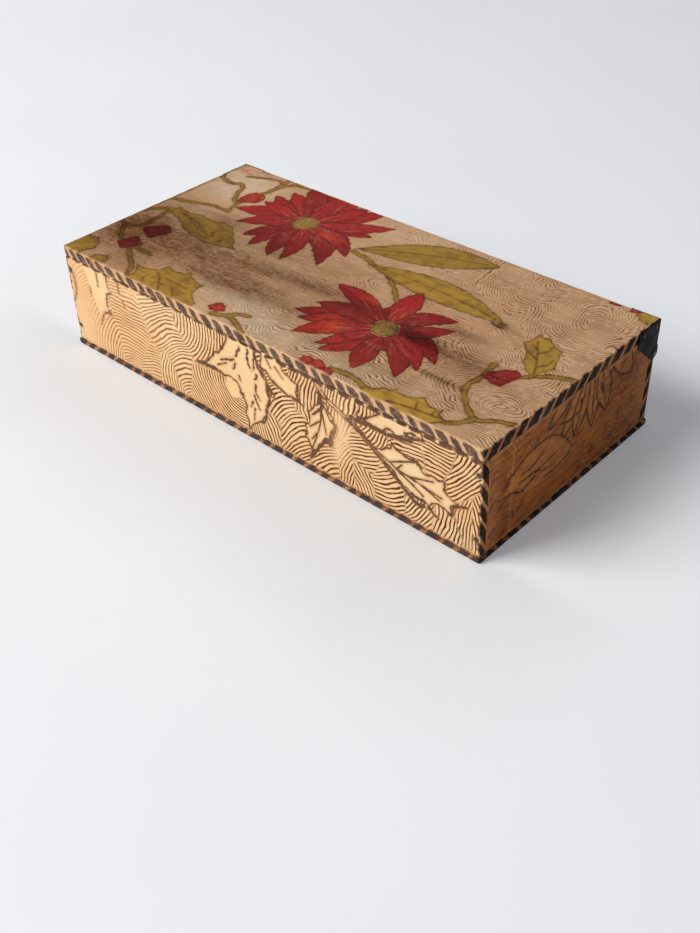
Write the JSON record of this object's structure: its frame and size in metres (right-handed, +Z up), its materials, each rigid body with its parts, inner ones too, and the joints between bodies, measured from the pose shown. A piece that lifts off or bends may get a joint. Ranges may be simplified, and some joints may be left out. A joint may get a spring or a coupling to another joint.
{
  "type": "hinged wooden box",
  "caption": "Long low wooden box with burned and stained flower decoration and a flat lid that turns on nails through bent sheet-metal hinge plates.",
  "frame": {"origin": "middle of the underside of the base", "axes": "+X along the length to the right as seen from the front, +Y from front to back, +Z up"},
  "size_m": [0.2944, 0.142, 0.063],
  "materials": {
    "lid_wood": "aged softwood with burned lines and worn stain, matt",
    "wall_wood": "aged softwood with burned lines and worn stain, low sheen",
    "base_wood": "plain aged softwood with a burned edge, matt",
    "hinge_sheet": "dull tarnished tinplate",
    "nail_iron": "dull worn wire nail"
  },
  "bodies": {
    "box": {"base_board": "base_wood", "front_panel": "wall_wood", "back_panel": "wall_wood", "left_end_panel": "wall_wood", "right_end_panel": "wall_wood", "front_left_nails": "nail_iron", "front_right_nails": "nail_iron", "back_left_nails": "nail_iron", "back_right_nails": "nail_iron", "base_front_nails": "nail_iron", "base_back_nails": "nail_iron", "base_left_nails": "nail_iron", "base_right_nails": "nail_iron", "left_pivot_nail": "nail_iron", "right_pivot_nail": "nail_iron"},
    "lid": {"lid_board": "lid_wood", "left_hinge_plate": "hinge_sheet", "right_hinge_plate": "hinge_sheet", "left_hinge_tacks": "nail_iron", "right_hinge_tacks": "nail_iron"}
  },
  "joints": [
    {"name": "lid_hinge", "type": "hinge", "parent": "box", "child": "lid", "pos_m": [0, 0.0676, 0.0444], "axis": [-1, 0, 0], "range_deg": [0, 105]}
  ]
}
